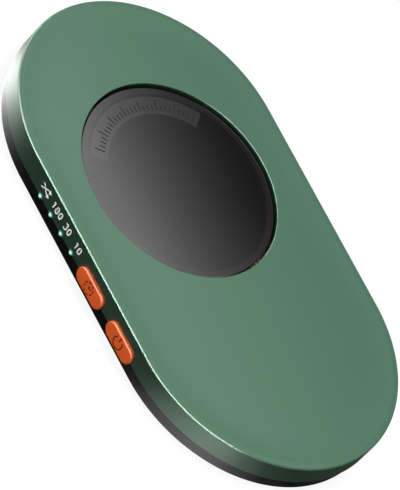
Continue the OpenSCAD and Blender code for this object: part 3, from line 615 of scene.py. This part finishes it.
tray = combined(grownCopy("base_tray", "tray_shell", trayRadius, straightHalf, (0, 0)),
                traySkin(trayLook), "INTERSECT")
finishPiece(settled(tray), "housing", "base_black", replaces="base_tray")
print("tray done:", len(tray.data.polygons), "faces")

# Turntable disc with its scale

discLook = {"edgeRound": 0.3, "edgeSteps": 8, "edgeFall": 0.5, "edgeLean": 0.02, "around": 360,
            "ticks": 29, "tickFrom": 47, "tickTo": 145, "tickWidth": 0.34, "longTick": 2.9, "longEvery": 4,
            "shortTick": 1.7, "proud": 0.012}

def discSkin(look):
    # a lathed block with a rounded top edge that the disc is kept inside
    outer, top, low = discRadius - skinCut, discHigh[2] - skinCut, boxOf("turntable_disc")[0][2] - past
    profile = roundedProfile([(0, top, 0), (outer - look["edgeLean"], top, look["edgeRound"]),
                              (outer, top - look["edgeFall"], 0), (outer, low, 0), (0, low, 0)],
                             look["edgeSteps"])
    angle = np.linspace(0, 2 * np.pi, look["around"], endpoint=False)
    normal = np.stack([np.cos(angle), np.sin(angle)], 1)
    rows = sweptRows(profile, (np.broadcast_to(discAt, normal.shape), normal))
    return meshPiece("disc_skin", rows, gridFaces(len(rows), rows.shape[1]))

def discScale(look, label):
    # plain marks along the lighter arc, some of them long: a box in radius, angle and height each
    top = discHigh[2] - skinCut
    middle = (label["inner"] + label["outer"]) / 2
    angles = np.radians(np.linspace(look["tickTo"], look["tickFrom"], look["ticks"]))
    longer = np.arange(look["ticks"]) % look["longEvery"] == 0
    half = np.where(longer, look["longTick"], look["shortTick"]) / 2
    corners = np.array([(-1, -1), (1, -1), (1, 1), (-1, 1)])
    start = middle - look["longTick"] / 2
    radial = start + half[:, None] * (1 + corners[:, 0])
    across = look["tickWidth"] / 2 * corners[:, 1] + 0 * radial
    out = np.stack([np.cos(angles), np.sin(angles)], 1)[:, None]
    side = np.stack([-np.sin(angles), np.cos(angles)], 1)[:, None]
    flat = discAt + radial[..., None] * out + across[..., None] * side
    levels = [np.concatenate([flat, np.full(flat.shape[:2] + (1,), z)], 2)
              for z in (top - look["proud"], top + look["proud"])]
    points = np.concatenate(levels, 1)
    box = np.array([(0, 1, 2, 3), (4, 5, 6, 7), (0, 1, 5, 4), (1, 2, 6, 5), (2, 3, 7, 6), (3, 0, 4, 7)])
    firstCorner = points.shape[1] * np.arange(look["ticks"])
    faces = (box[None] + firstCorner[:, None, None]).reshape(-1, 4)
    return meshPiece("turntable_scale", points, faces)

disc = combined(grownCopy("turntable_disc", "turntable_top", discRadius, 0, discAt),
                discSkin(discLook), "INTERSECT")
finishPiece(settled(disc), "turntable", "disc_dark", replaces="turntable_disc")
finishPiece(discScale(discLook, labelLook), "turntable", "disc_dark", "mark_dark")
print("turntable done:", len(disc.data.polygons), "faces")

# Buttons: pills with a wide soft edge and a printed sign

def buttonSkin(node, look, ahead=0):
    # a pill whose face falls back by dome * r * r, where r is the share of its half height from the middle,
    # with a rounded edge; it widens behind the cover's wall, and ahead moves it outwards
    face, middle, length, height = buttonPlace(node)
    reach = height / 2 - skinCut
    x = face + skinCut - ahead
    neck, wide, back = x + look["neck"], reach + look["shoulder"], boxOf(node)[1][0] + past
    crown = [(r * reach, x + look["dome"] * r * r, 0)
             for r in np.linspace(0, look["domeShare"], look["crownRows"])]
    profile = roundedProfile(crown + [(reach, x + look["dome"], look["edgeRound"]), (reach, neck, 0),
                                      (wide, neck, 0), (wide, back, 0), (0, back, 0)], look["edgeSteps"])
    rows = sweptRows(profile, stadiumLoop((length - height) / 2, look["perSide"], look["perArc"]))
    points = np.stack([rows[..., 2], middle[0] + rows[..., 1], middle[1] + rows[..., 0]], -1)
    return meshPiece("button_skin", points, gridFaces(len(rows), rows.shape[1]))

def arcPath(centre, radii, start, end, count=40):
    # an elliptical arc in the button's or wall's plane, from a start to an end angle in degrees,
    # where 0 points along -Y, the reading direction, and 90 up
    angle = np.radians(np.linspace(start, end, count))
    return np.stack([centre[0] - radii[0] * np.cos(angle), centre[1] + radii[1] * np.sin(angle)], 1)

def linePath(start, end, count=14):
    # a straight path of evenly spaced points
    return np.array(start) + np.linspace(0, 1, count)[:, None] * (np.array(end) - np.array(start))

def roundEnds(path, half, least=0.25):
    # half widths of a stroke whose ends are round: sqrt(half^2 - (half - distance from the end)^2),
    # and never less than a share of half
    run = np.concatenate([[0], np.cumsum(np.linalg.norm(np.diff(path, axis=0), axis=1))])
    near = np.minimum(np.minimum(run, run[-1] - run), half)
    return np.sqrt(np.maximum(half ** 2 - (half - near) ** 2, (least * half) ** 2))

def timerSign(centre, look):
    # a ring of dashes with two hands, whose ends are placed in shares of the sign's size
    size, (start, end) = look["mark"], look["dash"]
    radius = size / 2 - look["stroke"] / 2
    turns = np.arange(look["dashes"]) * 360 / look["dashes"]
    dashes = [arcPath(centre, (radius, radius), turn + start, turn + end, count=12) for turn in turns]
    hands = [linePath(centre, (centre[0] + across * size, centre[1] + up * size))
             for across, up in look["hands"]]
    return dashes + hands

def powerSign(centre, look):
    # a ring that is open for some degrees on either side of its top, with a bar there
    size, (low, high) = look["mark"], look["bar"]
    radius = size / 2 - look["stroke"] / 2
    return [arcPath(centre, (radius, radius), 90 + look["gapHalf"], 450 - look["gapHalf"], count=48),
            linePath((centre[0], centre[1] + low * size), (centre[0], centre[1] + high * size))]

def makeButton(node, name, sign, look):
    face, middle = buttonPlace(node)[:2]
    button = combined(partCopy(node, name), buttonSkin(node, look), "INTERSECT")
    half, reach = look["stroke"] / 2, look["markReach"]
    inks = [combined(strokeSolid("ink", path, roundEnds(path, half), face - reach, face + reach),
                     buttonSkin(node, look, look["proud"]), "INTERSECT") for path in sign(middle, look)]
    finishPiece(settled(button), node, "button_orange", replaces=node)
    finishPiece(joined(name + "_sign", inks), node, "button_orange", "mark_brown")

makeButton("timer_button", "timer_button_cap", timerSign, buttonLook)
makeButton("power_button", "power_button_cap", powerSign, buttonLook)
print("buttons done")

# Printed signs on the wall, above the status lights

printLook = {"low": 6.62, "height": 2.1, "stroke": 0.34, "advance": 1.66, "proud": 0.012, "sunk": 0.02,
             "numbers": {"180": 17.6, "30": 11.3, "10": 5.8}, "arrowsAt": (23.2, 6.9), "arrowsWidth": 2.9,
             "arrowsHeight": 1.5, "headLength": 1.0, "headHalf": 0.62, "headTip": 0.02}

def digitPaths(digit, at, h):
    # centre lines of one digit in a cell that is 0.56 h wide: rings, arcs and lines; closed ones are marked
    def spot(u, v):
        return at[0] - u * h, at[1] + v * h
    def ring(u, v, a, b):
        return arcPath(spot(u, v), (a * h, b * h), 0, 352, count=44), True
    def arc(u, v, a, b, start, end):
        return arcPath(spot(u, v), (a * h, b * h), start, end, count=30), False
    def line(start, end):
        return linePath(spot(*start), spot(*end)), False
    return {"0": [ring(0.28, 0.5, 0.24, 0.44)],
            "1": [line((0.08, 0.76), (0.34, 0.94)), line((0.34, 0.94), (0.34, 0.04))],
            "3": [arc(0.26, 0.71, 0.22, 0.22, 160, -88), arc(0.26, 0.29, 0.26, 0.24, 88, -160)],
            "8": [ring(0.28, 0.72, 0.2, 0.21), ring(0.28, 0.28, 0.25, 0.23)]}[digit]

def crossedArrows(at, width, height):
    # two strands that cross on a smooth step, each ending in an arrow head
    t = np.linspace(0, 1, 40)
    step = t * t * (3 - 2 * t)
    return [(np.stack([at[0] - width * t, at[1] + height * (v0 + (v1 - v0) * step)], 1), False)
            for v0, v1 in ((0, 1), (1, 0))]

def wallStroke(path, halfWidth, look, closed=False):
    # one stroke of print on the left wall, just proud of it
    x = -coverRadius + skinCut
    return strokeSolid("stroke", path, halfWidth, x - look["proud"], x + look["sunk"], closed)

def wallStrokes(paths, look):
    half = look["stroke"] / 2
    return [wallStroke(path, half if closed else roundEnds(path, half), look, closed)
            for path, closed in paths]

def makeLegends(look):
    for text, start in look["numbers"].items():
        paths = []
        for n, digit in enumerate(text):
            paths += digitPaths(digit, (start - n * look["advance"], look["low"]), look["height"])
        finishPiece(joined("print_" + text, wallStrokes(paths, look)), "housing", "cover_green",
                    "print_white")
    strands = crossedArrows(look["arrowsAt"], look["arrowsWidth"], look["arrowsHeight"])
    strokes = wallStrokes(strands, look)
    for path, _ in strands:                              # heads: short strokes that narrow to a point
        onward = (path[-1] - path[-2]) / np.linalg.norm(path[-1] - path[-2])
        head = linePath(path[-1], path[-1] + onward * look["headLength"])
        strokes.append(wallStroke(head, np.linspace(look["headHalf"], look["headTip"], len(head)), look))
    finishPiece(joined("print_arrows", strokes), "housing", "cover_green", "print_white")

makeLegends(printLook)
print("prints done")

# The parts that keep their own shape take the finish of their slot

for entry in frame["record"]["subparts"]:
    skinList = parts[entry["node"]].data.materials
    skinList.clear()
    skinList.append(skins[entry["material_slot"]])
print("parts dressed")

# Stage: camera, floor, lamps and cards

cameraLook = {"azimuth": -66.198, "elevation": 43.252, "roll": 44.666, "distance": 1594.557,
              "target": (4.723, 1.347, 0.6), "lens": 473.97}

def aimed(azimuth, elevation):
    # direction away from the object: azimuth 0 is -Y and 90 is +X, elevation is measured from the floor
    a, e = math.radians(azimuth), math.radians(elevation)
    return Vector((math.sin(a) * math.cos(e), -math.cos(a) * math.cos(e), math.sin(e)))

def makeCamera(look):
    # the fitted camera: it looks at the target along the aimed direction and is rolled round it
    back = aimed(look["azimuth"], look["elevation"])
    level = (-back).cross(Vector((0, 0, 1))).normalized()
    upright = back.cross(level)
    roll = math.radians(look["roll"])
    right = level * math.cos(roll) + upright * math.sin(roll)
    up = upright * math.cos(roll) - level * math.sin(roll)
    camera = placed("camera", bpy.data.cameras.new("camera"))
    place = Matrix((right, up, back)).transposed().to_4x4()
    place.translation = (Vector(look["target"]) + back * look["distance"]) * mm
    camera.matrix_world = place
    camera.data.lens = look["lens"]
    camera.data.clip_end = 20
    bpy.context.scene.camera = camera

def makeLamp(name, azimuth, elevation, distance, size, watts):
    # a square lamp aimed at the object, not seen in glossy surfaces
    data = bpy.data.lights.new(name, "AREA")
    data.size, data.energy = size * mm, watts
    lamp = placed(name, data)
    towards = aimed(azimuth, elevation)
    lamp.matrix_world = towards.to_track_quat("Z", "Y").to_matrix().to_4x4()
    lamp.location = towards * distance * mm
    lamp.visible_camera = lamp.visible_glossy = False
    return lamp

def shownTo(lamp, pieces):
    # a narrow lamp that lights only these pieces
    lit = bpy.data.collections.new(lamp.name + "_lit")
    for piece in pieces:
        lit.objects.link(piece)
    lamp.light_linking.receiver_collection = lit

def emptyMaterial(name):
    material = bpy.data.materials.new(name)
    material.use_nodes = True
    material.node_tree.nodes.clear()
    return material, material.node_tree

def shownAs(tree, shader):
    tree.links.new(shader.outputs[0], addNode(tree, "ShaderNodeOutputMaterial").inputs[0])

def evenGlow(name, level):
    material, tree = emptyMaterial(name)
    shownAs(tree, addNode(tree, "ShaderNodeEmission", {"Strength": level}))
    return material

def gradedGlow(name, axis, stops):
    # glow that changes along one axis, or with the angle round Z from -X: stops are (place, brightness),
    # with places in millimetres or degrees
    material, tree = emptyMaterial(name)
    place = addNode(tree, "ShaderNodeSeparateXYZ", {0: addNode(tree, "ShaderNodeTexCoord").outputs["Object"]})
    low, high = stops[0][0], stops[-1][0]
    if axis == "angle":
        unit = math.pi / 180
        value = mathNode(tree, "ARCTAN2", mathNode(tree, "MULTIPLY", place.outputs[1], -1.0),
                         mathNode(tree, "MULTIPLY", place.outputs[0], -1.0))
    else:
        unit, value = mm, place.outputs[axis]
    share = addNode(tree, "ShaderNodeMapRange", {"Value": value, "From Min": low * unit,
                                                 "From Max": high * unit})
    ramp = addNode(tree, "ShaderNodeValToRGB", {"Fac": share.outputs[0]})
    while len(ramp.color_ramp.elements) < len(stops):
        ramp.color_ramp.elements.new(0.5)
    top = max(level for _, level in stops)
    for element, (at, _) in zip(ramp.color_ramp.elements, stops):
        element.position = (at - low) / (high - low)
    for element, (_, level) in zip(ramp.color_ramp.elements, stops):
        element.color = (level / top, level / top, level / top, 1)
    shownAs(tree, addNode(tree, "ShaderNodeEmission", {"Color": ramp.outputs[0], "Strength": top}))
    return material

def makeCard(name, points, material):
    # a glowing card that only shows in glossy surfaces
    mesh = bpy.data.meshes.new(name)
    rows, columns = points.shape[:2]
    mesh.from_pydata((points.reshape(-1, 3) * mm).tolist(), [],
                     gridFaces(rows, columns, False, False).tolist())
    mesh.materials.append(material)
    card = placed(name, mesh)
    card.visible_camera = card.visible_diffuse = card.visible_shadow = card.visible_transmission = False

def flatPatch(x0, x1, y0, y1, z):
    x, y = np.meshgrid([x0, x1], [y0, y1], indexing="ij")
    return np.stack([x, y, 0 * x + z], -1).astype(float)

def domePatch(radius, azimuths, elevations, columns=24, rows=8):
    # part of a sphere round the origin: azimuths from +X towards +Y, elevations from the floor
    a, e = np.meshgrid(np.radians(np.linspace(*azimuths, columns)),
                       np.radians(np.linspace(*elevations, rows)), indexing="ij")
    return radius * np.stack([np.cos(a) * np.cos(e), np.sin(a) * np.cos(e), np.sin(e)], -1)

def shownRays(tree):
    # 1 for the rays that show the background: straight, mirrored or through clear parts
    path = addNode(tree, "ShaderNodeLightPath").outputs
    total = path["Is Camera Ray"]
    for name in ("Is Glossy Ray", "Is Transmission Ray"):
        total = mathNode(tree, "ADD", total, path[name], clamp=True)
    return total

# brightness of the card over the top, by its X in millimetres: its steep part shows in the disc
skyStops = [(-60, 1.2), (40, 1.4), (88, 1.6), (98, 2.2), (104, 3.3), (108, 3.9), (112, 3.45), (119, 2.35),
            (125, 1.7), (131, 1.2), (137, 0.85), (143, 0.58), (149, 0.36), (155, 0.18), (163, 0.05),
            (200, 0.05), (230, 0.1), (460, 0.1)]
# brightness of the floor card round the object, by its angle from -X in degrees, rear end first
sideStops = [(-180, 0.06), (-130, 0.06), (-105, 0.45), (-84, 0.75), (-76, 0.95), (-73, 1.8), (-70, 3.5),
             (-67, 4.9), (-64, 5.8), (-61, 6.2), (-58, 5.3), (-55, 4.1), (-52, 3), (-49, 2.1), (-46, 1.3),
             (-43, 0.67), (-40, 0.31), (-36.6, 0.15), (-32, 0.05), (28, 0.06), (36, 0.5), (43, 2.2),
             (51, 4.1), (58, 5), (63, 4), (69, 1.5), (76, 0.25), (84, 0.05), (180, 0.06)]
stageLook = {"floorSize": 3000, "floorGlow": 0.92, "floorDiffuse": 0.2, "worldDiffuse": 0.075,
             "edgeGlow": 28, "endGlow": 10, "farGlow": 0.05}

def makeFloor(look):
    half = look["floorSize"] / 2
    corners = flatPatch(-half, half, -half, half, 0).reshape(-1, 3) * mm
    mesh = bpy.data.meshes.new("floor")
    mesh.from_pydata(corners.tolist(), [], [(0, 2, 3, 1)])
    material, tree = emptyMaterial("floor_white")
    glow = addNode(tree, "ShaderNodeEmission",
                   {"Strength": mathNode(tree, "MULTIPLY", shownRays(tree), look["floorGlow"])})
    grey = look["floorDiffuse"]
    matte = addNode(tree, "ShaderNodeBsdfDiffuse", {"Color": (grey, grey, grey, 1)})
    both = addNode(tree, "ShaderNodeAddShader")
    tree.links.new(glow.outputs[0], both.inputs[0])
    tree.links.new(matte.outputs[0], both.inputs[1])
    shownAs(tree, both)
    mesh.materials.append(material)
    floor = placed("floor", mesh)

def makeWorld(look):
    world = bpy.data.worlds.new("studio")
    bpy.context.scene.world = world
    world.use_nodes = True
    tree = world.node_tree
    back = tree.nodes["Background"]
    level = addNode(tree, "ShaderNodeMapRange",
                    {"Value": shownRays(tree), "To Min": look["worldDiffuse"], "To Max": 1.0})
    back.inputs["Color"].default_value = (1, 1, 1, 1)
    tree.links.new(level.outputs[0], back.inputs["Strength"])

makeCamera(cameraLook)
makeFloor(stageLook)
makeWorld(stageLook)
makeLamp("top_lamp", azimuth=-20, elevation=86, distance=500, size=180, watts=0.99)
makeLamp("back_lamp", azimuth=120, elevation=24, distance=600, size=300, watts=0.8)
shownTo(makeLamp("button_lamp", azimuth=-100, elevation=30, distance=400, size=120, watts=1.15),
        [piece for piece in bpy.data.objects if "button_cap" in piece.name or "print_" in piece.name])
makeCard("sky_card", flatPatch(x0=skyStops[0][0], x1=skyStops[-1][0], y0=-260, y1=420, z=150),
         gradedGlow("sky_glow", 0, skyStops))
makeCard("edge_card", domePatch(radius=420, azimuths=(75, 250), elevations=(28, 58)),
         evenGlow("edge_glow", stageLook["edgeGlow"]))
makeCard("end_card", domePatch(radius=420, azimuths=(68, 125), elevations=(2, 28)),
         evenGlow("end_glow", stageLook["endGlow"]))
makeCard("far_card", domePatch(radius=500, azimuths=(-75, 75), elevations=(-3, 17)),
         evenGlow("far_glow", stageLook["farGlow"]))
makeCard("side_card", flatPatch(x0=-130, x1=130, y0=-150, y1=150, z=0.05),
         gradedGlow("side_glow", "angle", sideStops))
bpy.context.scene.view_settings.view_transform = "Standard"
print("stage set")

bpy.context.view_layer.update()
